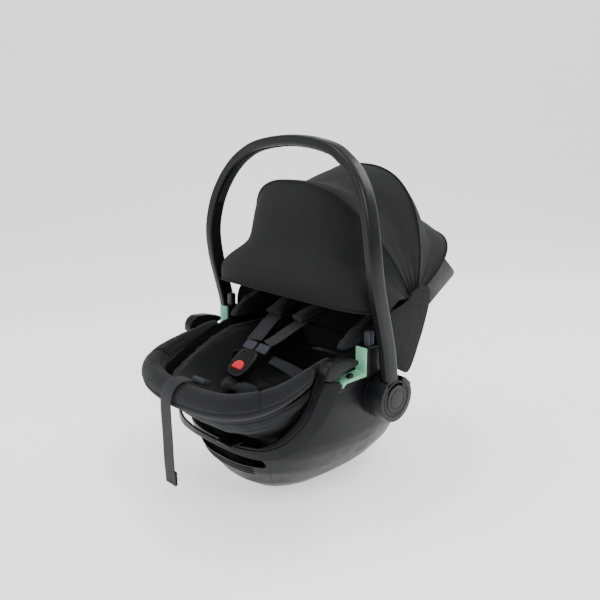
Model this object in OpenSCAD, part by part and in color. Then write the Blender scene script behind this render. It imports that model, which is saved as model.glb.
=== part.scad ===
// Infant carrier seat: moulded lower shell, seat bucket with pads and harness,
// hinged backrest, folding canopy and a swinging carrying handle.
// Millimetres. X to the baby's left, Y towards the head end, Z up, floor at Z = 0.

/* [Lower shell] */
// Half width of the lower shell at the hubs
shell_half_w = 172; // [160:1:180]
// Wall thickness of the moulded shells
shell_wall = 5; // [3:0.5:6]
// Height of the front lip
lip_z = 126; // [115:1:140]
// Height of the belt guide posts
post_top = 281; // [270:1:290]

/* [Handle] */
// Height of the handle pivot above the floor
hub_z = 193; // [180:1:205]
// Radius of the handle hubs
hub_r = 38; // [32:1:42]
// Width of the handle band
handle_w = 28; // [22:1:34]
// Thickness of the handle band
handle_t = 18; // [14:1:22]

/* [Harness] */
// Width of the harness webbing
web_w = 30; // [24:1:38]
// Thickness of the harness webbing
web_t = 2; // [1.5:0.5:3]

/* [Canopy] */
// Thickness of the canopy fabric with its lining
cloth_t = 4; // [3:0.5:6]
// Half width of the canopy at its base
hood_w = 173; // [168:1:176]

/* [Hidden] */
$fn = 32;
hub_out = 213;
hub_in = 178;
bolt_r = 8;
run_gap = 0.05;
pivot_y = 100;
pivot_z = 315;
pin_r = 6;
foot_front = 175;
foot_mid = 161.3;
foot_rear = 156.6;
plate_in = 149;
plate_out = 154;
bow_r = 2.5;
bow_gap = 7;

// ---------- helpers ----------

function sgn(v) = v < 0 ? -1 : 1;
function spow(v, e) = sgn(v) * pow(abs(v), e);

// plan outline: half width a, length to the foot f, length to the head r
function plan(a, f, r, nf, nr) = [for (t = [0:7.5:352.5])
    let (n = sin(t) < 0 ? nf : nr, b = sin(t) < 0 ? f : r)
    [a * spow(cos(t), 2 / n), b * spow(sin(t), 2 / n)]];

// one level of a hull: [z, half width, foot length, head length]
module level(v, nf, nr, cut) {
    translate([0, 0, v[0]])
        linear_extrude(1)
            polygon(plan(v[1] - cut, v[2] - cut, v[3] - cut, nf, nr));
}

module tub(levels, nf, nr, cut) {
    hull() {
        for (v = levels) {
            level(v, nf, nr, cut);
        }
    }
}

// a side view outline in Y and Z, extruded from x0 to x1
module side_slab(points, x0, x1) {
    translate([x0, 0, 0])
        rotate([90, 0, 90])
            linear_extrude(x1 - x0)
                polygon(points);
}

module both_sides() {
    children();
    mirror([1, 0, 0])
        children();
}

// closed solid through rings of equal length
module loft(rings) {
    n = len(rings[0]);
    m = len(rings);
    h = n / 2;
    pts = [for (r = rings) each r];
    side_a = [for (i = [0:m - 2]) for (j = [0:n - 1]) [i * n + j, i * n + (j + 1) % n, (i + 1) * n + j]];
    side_b = [for (i = [0:m - 2]) for (j = [0:n - 1])
        [i * n + (j + 1) % n, (i + 1) * n + (j + 1) % n, (i + 1) * n + j]];
    cap_a = [for (j = [0:h - 2]) [j, n - 1 - j, j + 1]];
    cap_b = [for (j = [0:h - 2]) [j + 1, n - 1 - j, n - 2 - j]];
    e = (m - 1) * n;
    end_a = [for (j = [0:h - 2]) [e + j, e + j + 1, e + n - 1 - j]];
    end_b = [for (j = [0:h - 2]) [e + j + 1, e + n - 2 - j, e + n - 1 - j]];
    all = [for (f = concat(side_a, side_b, cap_a, cap_b, end_a, end_b))
        if (f[0] != f[1] && f[1] != f[2] && f[0] != f[2]) f];
    // faces are turned so that the solid is never inside out
    six_volumes = [for (f = all) cross(pts[f[0]], pts[f[1]]) * pts[f[2]]];
    turned = six_volumes * [for (v = six_volumes) 1] > 0;
    polyhedron(points = pts, faces = [for (f = all) turned ? [f[0], f[2], f[1]] : f], convexity = 8);
}

function unit(v) = v / norm(v);
// smooth curve through points
function catmull(p, k) = [for (i = [0:len(p) - 2]) for (s = [0:k - 1])
    let (a = p[max(i - 1, 0)], b = p[i], c = p[i + 1], d = p[min(i + 2, len(p) - 1)], t = s / k)
    0.5 * (2 * b + (c - a) * t + (2 * a - 5 * b + 4 * c - d) * t * t + (3 * b - a - 3 * c + d) * t * t * t)];
function curve(p, k) = concat(catmull(p, k), [p[len(p) - 1]]);
function tangent(p, i) = unit(p[min(i + 1, len(p) - 1)] - p[max(i - 1, 0)]);

// rings of a flat band, w wide along the side direction and t thick
function band(path, w, t, side, lift, steps) = [for (i = [0:len(path) - 1])
    let (d = tangent(path, i), n = unit(cross(d, side)), b = cross(n, d))
    [for (a = [0:360 / steps:359])
        path[i] + b * (w / 2 * spow(cos(a), 0.6)) + n * (lift + t / 2 * spow(sin(a), 0.6))]];

// ---------- carrying handle ----------

handle_half = [[203, -2, 205], [203, -7, 230], [201, -14, 280], [200, -27, 330], [199, -40, 380],
    [196, -46, 430], [185, -43, 480], [167, -36, 520], [143, -30, 550], [115, -26, 570],
    [88, -22, 582], [46, -19, 590], [0, -18, 593]];
handle_path = concat(handle_half, [for (i = [len(handle_half) - 2:-1:0])
    [-handle_half[i][0], handle_half[i][1], handle_half[i][2]]]);
handle_curve = curve(handle_path, 3);

module handle_bow() {
    color([0.07, 0.07, 0.08])
        difference() {
            loft(band(handle_curve, handle_w, handle_t, [0, 1, 0], 0, 12));
            both_sides()
                translate([190, 0, hub_z])
                    rotate([0, 90, 0])
                        cylinder(r = 26, h = 30);
        }
}

// inner grip strip, sunk face to face on the band's inner side
module grip_inlay() {
    first = 18;
    last = len(handle_curve) - 1 - first;
    color([0.2, 0.2, 0.21])
        loft(band([for (i = [first:last]) handle_curve[i]], 12, 1.6, [0, 1, 0],
            handle_t / 2 + 0.85, 8));
}

module hub_drum() {
    color([0.07, 0.07, 0.08])
        difference() {
            translate([hub_in, 0, hub_z])
                rotate([0, 90, 0])
                    cylinder(r = hub_r, h = hub_out - hub_in, $fn = 64);
            // bearing bore and the seat of the cap
            translate([hub_in - 1, 0, hub_z])
                rotate([0, 90, 0])
                    cylinder(r = bolt_r + run_gap, h = 26, $fn = 64);
            translate([hub_out - 5, 0, hub_z])
                rotate([0, 90, 0])
                    cylinder(r = 24, h = 6, $fn = 64);
            // seat of the push button at the rear
            translate([180, 29, hub_z - 20])
                cube([29, 20, 40]);
            // seat of the band's lower end
            translate([193.5, -22, hub_z + 11])
                cube([25, 36, 40]);
        }
}

module hub_left() {
    hub_drum();
}

module hub_right() {
    mirror([1, 0, 0])
        hub_drum();
}

module hub_caps() {
    color([0.1, 0.1, 0.11])
        both_sides()
            translate([hub_out - 4.9, 0, hub_z])
                rotate([0, 90, 0])
                    cylinder(r = 23.4, h = 6.9, $fn = 64);
}

module handle_button() {
    color([0.25, 0.26, 0.31])
        translate([184, 31, hub_z - 18])
            cube([24, 12, 36]);
}

module handle_button_left() {
    handle_button();
}

module handle_button_right() {
    mirror([1, 0, 0])
        handle_button();
}

module pivot_bolts() {
    color([0.6, 0.6, 0.62])
        both_sides()
            translate([163, 0, hub_z])
                rotate([0, 90, 0])
                    cylinder(r = bolt_r, h = 39, $fn = 64);
}

// ---------- lower shell ----------

shell_levels = [[3, 48, 92, 122], [14, 72, 127, 152], [35, 98, 158, 176], [70, 130, 185, 192],
    [105, 152, 202, 196], [125, 160, 206, 197], [190, shell_half_w, 208, 190],
    [286, shell_half_w + 5, 209, 176]];
// everything above this line is open
shell_rim = [[-320, lip_z], [-186, lip_z + 1], [-171, 140], [-158, 157], [-145, 179], [-134, 208],
    [-127, 235], [-121, 258], [-112, 262], [-98, 234], [-44, 230], [-42, 258], [-14, 258], [0, 240],
    [45, 215], [85, 150], [120, 124], [260, 124], [260, 420], [-320, 420]];

module post() {
    difference() {
        union() {
            // the post stands on the side wall
            translate([161, -42, 232])
                cube([25, 30, post_top - 232]);
            side_slab([[-130, 248], [-128, 268], [-114, 276], [-88, 274], [-58, 265], [-58, 257],
                [-86, 252], [-96, 249], [-106, 244]], 163, 184);
            side_slab([[-106, 218], [-12, 218], [-12, 234], [-106, 234]], 163, 177.4);
        }
        // well for the release tab
        translate([166, -32, post_top - 26])
            cube([15, 14, 30]);
    }
}

module lower_shell() {
    color([0.06, 0.06, 0.065])
        difference() {
            union() {
                difference() {
                    tub(shell_levels, 2.6, 2, 0);
                    translate([0, 0, shell_wall + 1])
                        tub(shell_levels, 2.6, 2, shell_wall);
                    side_slab(shell_rim, -220, 220);
                    // hand hold under the lip at the foot end
                    translate([-75, -230, 84])
                        cube([165, 85, 24]);
                }
                both_sides()
                    translate([158, 0, hub_z])
                        rotate([0, 90, 0])
                            cylinder(r = 36, h = 19, $fn = 64);
                both_sides()
                    post();
                // ledge under the hand hold
                translate([-75, -186, 80])
                    cube([165, 30, 4]);
                // posts that carry the seat bucket
                both_sides()
                    translate([48, -60, 6])
                        cube([24, 90, 50]);
            }
            both_sides()
                translate([150, 0, hub_z])
                    rotate([0, 90, 0])
                        cylinder(r = bolt_r, h = 40, $fn = 64);
            // slots of the base bars
            for (y = [-70, 80])
                translate([-54, y, 14])
                    rotate([0, 90, 0])
                        cylinder(r = 6, h = 108);
            for (y = [-70, 80])
                translate([-30, y - 14, -1])
                    cube([60, 28, 24]);
            // seats of the belt guides
            both_sides()
                translate([160, -45, 234])
                    cube([30, 4, 60]);
        }
}

// trim band along the rim, from hook to lip to hook
trim_side = [[177, -116, 268], [173, -121, 248], [168, -132, 222], [163, -140, 198], [155, -152, 175],
    [144, -166, 155], [130, -180, 141], [110, -192, 132], [80, -203, 128], [40, -209, 126], [0, -211, 126]];
trim_path = concat(trim_side, [for (i = [len(trim_side) - 2:-1:0])
    [-trim_side[i][0], trim_side[i][1], trim_side[i][2]]]);
function trim_ring(p, k, w) = let (c = curve(p, 3)) [for (i = [0:len(c) - 1])
    let (d = tangent(c, i), o = unit([c[i][0], c[i][1] * 0.7 - 40, 0]), n = unit(cross(d, o)),
        h = w * (0.35 + 0.65 * pow(abs(c[i][0]) / 176, 2)))
    [c[i] + o * k, c[i] + o * (k + 4) , c[i] + o * (k + 4) - n * h, c[i] + o * k - n * h]];

module shell_trim() {
    color([0.1, 0.1, 0.105])
        difference() {
            loft(trim_ring(trim_path, 0, 26));
            tub(shell_levels, 2.6, 2, -0.05);
            // room for the belt hooks and their floor
            both_sides()
                translate([160, -145, 243.4])
                    cube([40, 80, 60]);
            both_sides()
                translate([160, -106.2, 217])
                    cube([40, 80, 60]);
        }
}

module guide() {
    color([0.55, 0.78, 0.65])
        union() {
            translate([163, -45, 238])
                cube([22, 3.9, post_top - 238]);
            side_slab([[-96, 228], [-96, 239], [-41.1, 242], [-41.1, 234.1], [-88, 234.1]], 181.1, 185);
            side_slab([[-96, 234.1], [-96, 239], [-41.1, 242], [-41.1, 234.1]], 163, 185);
        }
}

module belt_guide_left() {
    guide();
}

module belt_guide_right() {
    mirror([1, 0, 0])
        guide();
}

module guide_clips() {
    color([0.03, 0.03, 0.03])
        both_sides()
            translate([176, -80, 240.5])
                cube([8, 9, 6]);
}

module release_tab() {
    color([0.25, 0.26, 0.31])
        translate([167, -31, post_top - 18])
            cube([13, 12, 40]);
}

module release_tab_left() {
    release_tab();
}

module release_tab_right() {
    mirror([1, 0, 0])
        release_tab();
}

module base_bars() {
    color([0.6, 0.6, 0.62])
        for (y = [-70, 80])
            translate([-54, y, 14])
                rotate([0, 90, 0])
                    cylinder(r = 6, h = 108);
}

module rest_pads() {
    color([0.04, 0.04, 0.04])
        for (p = [[-36, -46], [36, -46], [-36, 60], [36, 60], [0, 0]])
            translate([p[0], p[1], 0])
                cylinder(r = 9, h = 3);
}

// ---------- seat bucket ----------

bucket_levels = [[98, 70, 90, 60], [110, 98, 135, 95], [125, 115, 172, 120], [140, 126, 200, 133],
    [165, 137, 235, 150], [200, 144, 262, 160], [225, 146, 272, 164], [275, 148, 276, 166]];
bucket_rim = [[-330, 214], [-250, 216], [-200, 224], [-150, 238], [-110, 252], [-60, 264], [88, 264],
    [88, 192], [240, 192], [240, 420], [-330, 420]];

module seat_bucket() {
    color([0.05, 0.05, 0.055])
        difference() {
            tub(bucket_levels, 3, 2, 0);
            translate([0, 0, 4])
                tub(bucket_levels, 3, 2, 4);
            side_slab(bucket_rim, -220, 220);
            // harness slot in the seat
            translate([-14, -160, 90])
                cube([28, 12, 40]);
        }
}

// feet between the bucket and the lower shell
module bucket_stand() {
    color([0.05, 0.05, 0.055])
        both_sides()
            translate([50, -55, 56])
                cube([20, 80, 42]);
}

module side_plates() {
    color([0.08, 0.08, 0.085])
        both_sides()
            difference() {
                side_slab([[-10, 226], [-10, 262], [40, 288], [74, 334], [122, 334], [114, 300],
                    [94, 280], [84, 212], [50, 206]], plate_in, plate_out);
                translate([140, pivot_y, pivot_z])
                    rotate([0, 90, 0])
                        cylinder(r = pin_r, h = 30, $fn = 48);
            }
}

// pins for the backrest on the inside and the canopy bows on the outside
module hinge_pins() {
    color([0.6, 0.6, 0.62])
        both_sides()
            translate([139, pivot_y, pivot_z])
                rotate([0, 90, 0])
                    cylinder(r = pin_r, h = 39.1, $fn = 48);
}

module recline_lever() {
    color([0.12, 0.12, 0.13])
        translate([30, -224, 129.5])
            cube([36, 32, 5]);
}

// ---------- pads ----------

rim_half = [[144, -84, 260], [145, -110, 255], [146, -140, 246], [146, -172, 237], [140, -203, 229],
    [123, -231, 222], [94, -252, 217], [52, -264, 215], [0, -268, 214]];
rim_path = concat(rim_half, [for (i = [len(rim_half) - 2:-1:0])
    [-rim_half[i][0], rim_half[i][1], rim_half[i][2]]]);

function pad_ring(c, w, t) = [for (i = [0:len(c) - 1])
    let (d = tangent(c, i), n = unit(cross(d, [0, 0, 1])), b = cross(n, d),
        g = 0.45 + 0.55 * min(1, 3.2 * min(i, len(c) - 1 - i) / (len(c) - 1)))
    [for (a = [0:30:330]) c[i] + n * (w / 2 * cos(a)) * g + b * (t / 2 * sin(a)) * g]];

module rim_pad() {
    color([0.09, 0.09, 0.095])
        difference() {
            loft(pad_ring(curve(rim_path, 3), 44, 44));
            difference() {
                tub(bucket_levels, 3, 2, -0.6);
                side_slab([[-330, 215], [-250, 217], [-200, 225], [-150, 239], [-110, 253], [-60, 265],
                    [200, 265], [200, 420], [-330, 420]], -220, 220);
            }
            // room for the belt hooks
            both_sides()
                translate([162.4, -135, 200])
                    cube([20, 90, 100]);
            // it ends against the inside of the shell wall
            difference() {
                translate([-200, -132, 200])
                    cube([400, 90, 100]);
                translate([0, 0, 6])
                    tub(shell_levels, 2.6, 2, 5.6);
            }
        }
}

module valance() {
    color([0.07, 0.07, 0.075])
        difference() {
            tub(bucket_levels, 3, 2, -5);
            tub(bucket_levels, 3, 2, -1);
            side_slab([[-330, 189], [-262, 190], [-230, 194], [-200, 199], [-150, 212], [-120, 226], [-90, 238], [240, 238],
                [240, 420], [-330, 420]], -220, 220);
            side_slab([[-330, 0], [240, 0], [240, 232], [-90, 232], [-120, 214], [-150, 192],
                [-200, 160], [-240, 150], [-330, 150]], -220, 220);
            translate([-220, -90, 0])
                cube([440, 400, 400]);
        }
}

module seat_pad() {
    color([0.08, 0.08, 0.085])
        difference() {
            translate([0, 0, 5])
                tub(bucket_levels, 3, 2, 5);
            tub([[150, 84, 150, 60], [172, 106, 205, 90], [205, 116, 232, 110], [300, 128, 254, 130]],
                2.8, 2, 0);
            side_slab([[-330, 208], [-250, 210], [-200, 218], [-150, 232], [-110, 246], [-60, 258],
                [84, 258], [84, 188], [240, 188], [240, 420], [-330, 420]], -220, 220);
            translate([-14, -160, 90])
                cube([28, 12, 100]);
        }
}

// padded face between the seat and the foot of the backrest
module lumbar_pad() {
    color([0.08, 0.08, 0.085])
        translate([0, 91.5, 0])
            rotate([90, 0, 0])
                linear_extrude(6.9)
                    polygon([[-86, 194], [86, 194], [108, 214], [112, 262], [102, 262], [76, 242],
                        [-76, 242], [-102, 262], [-112, 262], [-108, 214]]);
}

// padded wings beside the child's shoulders
module side_wings() {
    color([0.08, 0.08, 0.085])
        both_sides()
            side_slab([[-56, 266.5], [-48, 280], [-20, 304], [30, 322], [84, 330], [84, 266.5]], 128, 146);
}

// cloth panels between the canopy and the hubs, over the ends of the pins
module side_covers() {
    color([0.1, 0.1, 0.105])
        both_sides()
            side_slab([[-7, 246], [-6, 292], [4, 314], [22, 326], [62, 337], [76, 350], [100, 356],
                [122, 350], [124, 330], [116, 300], [98, 256], [74, 214], [50, 220], [24, 238]],
                178.2, 180.6);
}

module crotch_pad() {
    color([0.1, 0.1, 0.105])
        union() {
            translate([-22, -166, 190])
                cube([44, 26, 14]);
            both_sides()
                translate([24, -150, 190])
                    sphere(r = 17);
        }
}

module buckle_tilt() {
    translate([0, -140, 232])
        rotate([38, 0, 0])
            children();
}

module buckle_body() {
    color([0.05, 0.05, 0.055])
        buckle_tilt()
            difference() {
                translate([-25, -28, -8])
                    cube([50, 56, 16]);
                translate([0, -10, -2.5])
                    cylinder(r = 13.5, h = 20, $fn = 48);
            }
}

module buckle_button() {
    color([0.85, 0.12, 0.15])
        buckle_tilt()
            translate([0, -10, 2])
                cylinder(r = 12.8, h = 9, $fn = 48);
}

module buckle_tongues() {
    color([0.12, 0.12, 0.13])
        buckle_tilt()
            both_sides()
                translate([3, 28.2, -3])
                    cube([26, 18, 6]);
}

// ---------- webbing ----------

hip_path = [[36, -110, 242], [58, -97, 231], [85, -78, 214], [102, -62, 200]];
module hip_straps() {
    color([0.1, 0.1, 0.11])
        both_sides()
            loft(band(curve(hip_path, 4), web_w, web_t, [0.35, 0.75, -0.25], 0, 8));
}

shoulder_path = [[17, -101.5, 262.3], [22, -85, 269], [30, -50, 286], [37, -10, 300], [42, 40, 309],
    [46, 90, 308], [49, 125, 299], [51, 162, 286.5]];
module shoulder_straps() {
    color([0.1, 0.1, 0.11])
        both_sides()
            loft(band(curve(shoulder_path, 4), web_w, web_t, [1, -0.18, 0], 0, 8));
}

adjust_path = [[3, -242, 228], [3, -252, 236], [3, -270, 240], [3, -286, 234], [2, -294, 218],
    [1, -295, 196], [1, -294, 150], [0, -293, 110], [0, -291, 70]];
module adjuster_strap() {
    color([0.1, 0.1, 0.11])
        loft(band(curve(adjust_path, 4), 28, web_t, [1, 0, 0], 0, 8));
}

module adjuster_button() {
    color([0.15, 0.15, 0.16])
        translate([-12, -238, 226])
            rotate([-24, 0, 0])
                cube([30, 18, 9]);
}

// ---------- backrest ----------

// cross section of the backrest trough: half width at the top, at the bottom, and two heights
module trough_face(y, top_w, low_w, low_z, mid_z, top_z) {
    translate([0, y + 1, 0])
        rotate([90, 0, 0])
            linear_extrude(1)
                polygon([[-low_w, low_z], [low_w, low_z], [top_w, mid_z], [top_w, top_z],
                    [-top_w, top_z], [-top_w, mid_z]]);
}

module backrest_shell() {
    color([0.06, 0.06, 0.065])
        difference() {
            hull() {
                trough_face(93, 147.5, 92, 214, 262, 334);
                trough_face(250, 118, 76, 292, 322, 374);
                trough_face(306, 102, 68, 324, 332, 340);
            }
            hull() {
                trough_face(88, 142.5, 88, 220, 266, 350);
                trough_face(250, 113, 73, 298, 328, 420);
                trough_face(300, 97, 65, 330, 338, 420);
            }
            both_sides()
                translate([130, pivot_y, pivot_z])
                    rotate([0, 90, 0])
                        cylinder(r = pin_r + run_gap, h = 30, $fn = 48);
        }
}

module back_pad() {
    color([0.08, 0.08, 0.085])
        difference() {
            hull() {
                trough_face(96, 138, 84, 226, 272, 318);
                trough_face(250, 111, 71, 300, 330, 366);
                trough_face(296, 95, 63, 330, 338, 342);
            }
            hull() {
                trough_face(80, 112, 80, 244, 276, 330);
                trough_face(240, 90, 66, 320, 340, 420);
                trough_face(284, 84, 60, 340, 348, 420);
            }
            both_sides()
                translate([125, pivot_y, pivot_z])
                    rotate([0, 90, 0])
                        cylinder(r = 10, h = 30);
        }
}

module side_bolsters() {
    color([0.07, 0.07, 0.075])
        both_sides()
            hull() {
                translate([83, 118, 296])
                    sphere(r = 15, $fn = 20);
                translate([76, 220, 338])
                    sphere(r = 12, $fn = 20);
            }
}

module shoulder_pads() {
    color([0.08, 0.08, 0.085])
        both_sides()
            loft(band(curve([[29, -46, 295.5], [37, -8, 309.5], [42, 40, 318], [46, 84, 317]], 4),
                38, 12, [1, -0.18, 0], 0, 12));
}

module headrest_pad() {
    color([0.09, 0.09, 0.095])
        hull() {
            trough_face(168, 62, 52, 288, 300, 312);
            trough_face(236, 60, 50, 320.5, 332, 344);
        }
}

// ---------- canopy ----------

// arch: [angle, radius, half width, squareness]
bow_visor = [171.5, 167, hood_w + 10, 8];
bow_band = [160, 178, hood_w + 14, 6];
bow_saddle = [141, 180, hood_w + 1, 3.2];
bow_two = [121.4, 248, hood_w - 4, 2.4];
bow_two_rear = [120.6, 248, hood_w - 4, 2.4];
bow_dip = [103, 212, hood_w - 6, 2.4];
bow_three = [78.4, 236, hood_w - 7, 2.4];
bow_three_rear = [77.6, 236, hood_w - 7, 2.4];
bow_dip2 = [52, 192, hood_w - 19, 2.6];
bow_last = [30, 212, hood_w - 21, 3.2];

function mix(a, b, t) = a * (1 - t) + b * t;
function arch(v, off, steps, first) = [for (k = [0:steps])
    let (a = first + (180 - 2 * first) * k / steps, x = (v[2] - off) * spow(cos(a), 2 / v[3]),
        r = (v[1] - off) * pow(sin(a), 2 / v[3]))
    [x, pivot_y + r * cos(v[0]), pivot_z + r * sin(v[0])]];
function rev(p) = [for (i = [len(p) - 1:-1:0]) p[i]];
function hood_ring(v) = concat(arch(v, 0, 20, 5), rev(arch(v, cloth_t, 20, 5)));
function hood(a) = [for (v = curve(a, 3)) hood_ring(v)];

module hood_panel(a) {
    color([0.11, 0.11, 0.115])
        loft(hood(a));
}

// wire bow with its eye on the pivot pin
module bow(v, foot) {
    wire = arch([v[0], v[1] - bow_gap - bow_r, foot, v[3]], 0, 24, 5);
    near_pin = [0, pivot_y + 9.2 * cos(v[0]), pivot_z + 9.2 * sin(v[0])];
    c = concat([near_pin + [foot, 0, 0]], wire, [near_pin - [foot, 0, 0]]);
    d = [cos(v[0] - 90), sin(v[0] - 90)];
    color([0.2, 0.2, 0.21]) {
        loft([for (i = [0:len(c) - 1])
            let (t = tangent(c, i), s = [0, d[0], d[1]], n = unit(cross(t, s)))
            [for (a = [0:60:300]) c[i] + s * (bow_r * cos(a)) + n * (bow_r * sin(a))]]);
        both_sides()
            difference() {
                translate([foot - 2, pivot_y, pivot_z])
                    rotate([0, 90, 0])
                        cylinder(r = 10, h = 4);
                translate([foot - 3, pivot_y, pivot_z])
                    rotate([0, 90, 0])
                        cylinder(r = pin_r + run_gap, h = 6, $fn = 48);
            }
    }
}

module bow_front() {
    bow(bow_visor, foot_front);
}

module bow_mid() {
    bow(bow_two, foot_mid);
}

module bow_rear() {
    bow(bow_three, foot_rear);
}

module canopy_front() {
    hood_panel([bow_visor, bow_band, bow_saddle, bow_two]);
}

module canopy_mid() {
    hood_panel([bow_two_rear, bow_dip, bow_three]);
}

module canopy_rear() {
    hood_panel([bow_three_rear, bow_dip2, bow_last]);
}

lower_shell();
shell_trim();
belt_guide_left();
belt_guide_right();
guide_clips();
release_tab_left();
release_tab_right();
base_bars();
rest_pads();
pivot_bolts();
handle_bow();
grip_inlay();
hub_left();
hub_right();
hub_caps();
handle_button_left();
handle_button_right();
seat_bucket();
bucket_stand();
side_plates();
hinge_pins();
recline_lever();
rim_pad();
valance();
seat_pad();
lumbar_pad();
side_wings();
side_covers();
crotch_pad();
buckle_body();
buckle_button();
buckle_tongues();
hip_straps();
shoulder_straps();
adjuster_strap();
adjuster_button();
backrest_shell();
back_pad();
side_bolsters();
shoulder_pads();
headrest_pad();
bow_front();
bow_mid();
bow_rear();
canopy_front();
canopy_mid();
canopy_rear();
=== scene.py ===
import math

import bmesh
import bpy
from mathutils import Matrix, Vector, noise
from mathutils.bvhtree import BVHTree


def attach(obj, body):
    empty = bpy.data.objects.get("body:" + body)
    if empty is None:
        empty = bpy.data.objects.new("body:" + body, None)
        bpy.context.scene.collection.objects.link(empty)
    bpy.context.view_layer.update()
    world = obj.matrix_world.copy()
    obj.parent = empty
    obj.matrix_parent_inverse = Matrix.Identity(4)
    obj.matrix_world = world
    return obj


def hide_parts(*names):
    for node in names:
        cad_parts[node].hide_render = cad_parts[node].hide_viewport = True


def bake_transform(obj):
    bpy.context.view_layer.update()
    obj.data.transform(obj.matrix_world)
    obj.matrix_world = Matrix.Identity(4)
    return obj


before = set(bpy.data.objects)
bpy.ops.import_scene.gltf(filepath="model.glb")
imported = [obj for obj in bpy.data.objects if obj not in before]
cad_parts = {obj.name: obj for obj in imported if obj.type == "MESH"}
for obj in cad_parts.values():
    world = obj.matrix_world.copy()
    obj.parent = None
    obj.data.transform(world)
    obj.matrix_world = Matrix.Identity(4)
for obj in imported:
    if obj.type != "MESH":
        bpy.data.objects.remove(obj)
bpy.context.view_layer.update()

# lengths are millimetres; only the camera and the studio are in metres
MM = 0.001
PIVOT_Y, PIVOT_Z = 100.0, 315.0
HUB_Z = 193.0
UP = Vector((0, 0, 1))
SIDES = ((1, "left"), (-1, "right"))


# ---------- camera ----------

CAMERA_AT = (0.8816, -0.8551, 0.6368)
CAMERA_AZIMUTH, CAMERA_ELEVATION = 46.2, 14.6
CAMERA_LENS, SENSOR = 43.2, 36.0


def make_camera():
    a, e = math.radians(CAMERA_AZIMUTH), math.radians(CAMERA_ELEVATION)
    right = Vector((math.cos(a), math.sin(a), 0))
    back = Vector((math.sin(a) * math.cos(e), -math.cos(a) * math.cos(e), math.sin(e)))
    up = back.cross(right)
    data = bpy.data.cameras.new("camera")
    data.lens, data.sensor_width, data.clip_start = CAMERA_LENS, SENSOR, 0.02
    cam = bpy.data.objects.new("camera", data)
    turn = Matrix((right, up, back)).transposed().to_4x4()
    cam.matrix_world = Matrix.Translation(Vector(CAMERA_AT)) @ turn
    bpy.context.collection.objects.link(cam)
    bpy.context.scene.camera = cam


make_camera()


# ---------- materials ----------


class Shader:
    """A node material with a Principled shader, built step by step."""

    def __init__(self, name, rough, metallic=0.0, sheen=0.0, specular=0.5):
        self.mat = bpy.data.materials.new(name)
        self.mat.use_nodes = True
        self.nodes, self.links = self.mat.node_tree.nodes, self.mat.node_tree.links
        self.bsdf = self.nodes["Principled BSDF"]
        self.bsdf.inputs["Roughness"].default_value = rough
        self.bsdf.inputs["Metallic"].default_value = metallic
        self.bsdf.inputs["Sheen Weight"].default_value = sheen
        self.bsdf.inputs["Sheen Roughness"].default_value = 0.5
        self.bsdf.inputs["Specular IOR Level"].default_value = specular
        self.coord = self.nodes.new("ShaderNodeTexCoord")
        self.height = None

    def noise(self, scale, detail, rough=0.55):
        n = self.nodes.new("ShaderNodeTexNoise")
        n.inputs["Scale"].default_value = scale
        n.inputs["Detail"].default_value = detail
        n.inputs["Roughness"].default_value = rough
        self.links.new(self.coord.outputs["Object"], n.inputs["Vector"])
        return n.outputs["Fac"]

    def wave(self, scale, direction, space="Object", distortion=0.0):
        w = self.nodes.new("ShaderNodeTexWave")
        w.bands_direction = direction
        w.inputs["Scale"].default_value = scale
        w.inputs["Distortion"].default_value = distortion
        self.links.new(self.coord.outputs[space], w.inputs["Vector"])
        return w.outputs["Fac"]

    def math(self, kind, a, b):
        m = self.nodes.new("ShaderNodeMath")
        m.operation = kind
        for socket, value in zip(m.inputs, (a, b)):
            if isinstance(value, (int, float)):
                socket.default_value = value
            else:
                self.links.new(value, socket)
        return m.outputs[0]

    def spread(self, value, low, high):
        r = self.nodes.new("ShaderNodeMapRange")
        self.links.new(value, r.inputs["Value"])
        r.inputs["From Min"].default_value, r.inputs["From Max"].default_value = 0.3, 0.7
        r.inputs["To Min"].default_value, r.inputs["To Max"].default_value = low, high
        return r.outputs["Result"]

    def colour(self, dark, light, factor):
        mix = self.nodes.new("ShaderNodeMix")
        mix.data_type = "RGBA"
        mix.inputs["A"].default_value = (*dark, 1)
        mix.inputs["B"].default_value = (*light, 1)
        self.links.new(factor, mix.inputs["Factor"])
        self.links.new(mix.outputs["Result"], self.bsdf.inputs["Base Color"])

    def roughness(self, low, high, factor):
        self.links.new(self.spread(factor, low, high), self.bsdf.inputs["Roughness"])

    def bump(self, height, distance_mm, strength):
        b = self.nodes.new("ShaderNodeBump")
        b.inputs["Strength"].default_value = strength
        b.inputs["Distance"].default_value = distance_mm * MM
        self.links.new(height, b.inputs["Height"])
        if self.height is not None:
            self.links.new(self.height, b.inputs["Normal"])
        self.height = b.outputs["Normal"]
        self.links.new(self.height, self.bsdf.inputs["Normal"])


def moulded(name, dark, light, rough, grain_mm=0.06, specular=0.26):
    """Injection-moulded plastic: fine grain over slight waviness, patchy sheen."""
    s = Shader(name, rough, specular=specular)
    s.colour(dark, light, s.noise(14, 4))
    s.roughness(rough - 0.06, rough + 0.08, s.noise(35, 5))
    s.bump(s.noise(18, 2), 0.25, 0.25)
    s.bump(s.noise(1500, 2), grain_mm, 0.6)
    return s.mat


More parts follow.
